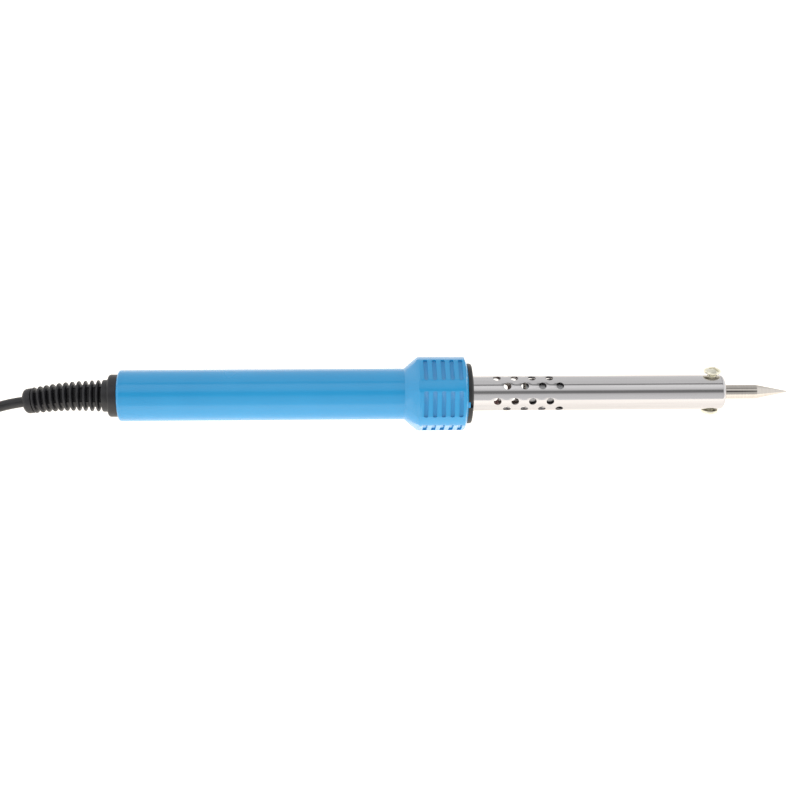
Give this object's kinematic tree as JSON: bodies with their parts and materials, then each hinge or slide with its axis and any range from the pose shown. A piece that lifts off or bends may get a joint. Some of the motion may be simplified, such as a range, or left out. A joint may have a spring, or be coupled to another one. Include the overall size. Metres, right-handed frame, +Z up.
{
  "type": "soldering iron",
  "caption": "Mains soldering iron with a slim round handle, a ribbed faceted grip, a vented steel barrel, a screw-clamped conical tip and a cord folded in a tied hank.",
  "frame": {"origin": "on the bench under the middle of the iron itself, from the boot's end to the tip's point, without its cord; the iron lies on one flat of its grip", "axes": "+X along the tool's axis towards the tip, +Z up from the bench, +Y to the left as seen from the cord's end"},
  "size_m": [0.4821, 0.0352, 0.024],
  "materials": {
    "blue_plastic": "glossy injection moulding",
    "black_phenolic": "satin moulding",
    "barrel_steel": "bright drawn stainless tube",
    "tip_plating": "bright plated bar",
    "turned_steel": "turned",
    "zinc_screw": "pale yellow zinc plate",
    "alumina": "unglazed",
    "nichrome": "drawn wire",
    "mica": "silvery sheet",
    "fibre_sleeve": "varnished glass braid",
    "white_nylon": "moulded",
    "terminal_brass": "turned",
    "brown_pvc": "extruded",
    "blue_pvc": "extruded",
    "black_pvc": "soft satin PVC",
    "tie_plastic": "hook and loop strap",
    "nickel": "bright nickel",
    "pin_sleeve_plastic": "moulded"
  },
  "bodies": {
    "iron": {"handle_shell": "blue_plastic", "front_ring": "black_phenolic", "barrel": "barrel_steel", "strain_relief_boot": "black_pvc", "cord_lead": "black_pvc", "cord_hank": "black_pvc", "cord_tail": "black_pvc", "cord_tie": "tie_plastic", "plug_relief": "black_pvc", "plug_body": "black_pvc", "plug_pins": "nickel", "pin_sleeves": "pin_sleeve_plastic", "barrel_flange": "barrel_steel", "clamp_bush": "turned_steel", "heater_core": "alumina", "heater_winding": "nichrome", "mica_wrap": "mica", "heater_sleeve": "turned_steel", "rear_insulator": "alumina", "heater_leads": "nichrome", "lead_sleeves": "fibre_sleeve", "terminal_block": "white_nylon", "terminal_tubes": "terminal_brass", "terminal_screws": "zinc_screw", "live_core": "brown_pvc", "neutral_core": "blue_pvc", "cord_clamp_upper": "black_phenolic", "cord_clamp_lower": "black_phenolic", "cord_clamp_screws": "zinc_screw", "cord_inner": "black_pvc"},
    "tip": {"tip": "tip_plating"},
    "upper_screw": {"upper_screw": "zinc_screw"},
    "lower_screw": {"lower_screw": "zinc_screw"}
  },
  "joints": [
    {"name": "tip_slide", "type": "slide", "parent": "iron", "child": "tip", "axis": [1, 0, 0], "range_m": [0, 0.062]},
    {"name": "upper_screw_turn", "type": "hinge", "parent": "iron", "child": "upper_screw", "pos_m": [0.10445, 0, 0.012], "axis": [0, 0.5, 0.866], "range_deg": [0, 810]},
    {"name": "lower_screw_turn", "type": "hinge", "parent": "iron", "child": "lower_screw", "pos_m": [0.10445, 0, 0.012], "axis": [0, -0.5, -0.866], "range_deg": [0, 810]}
  ]
}
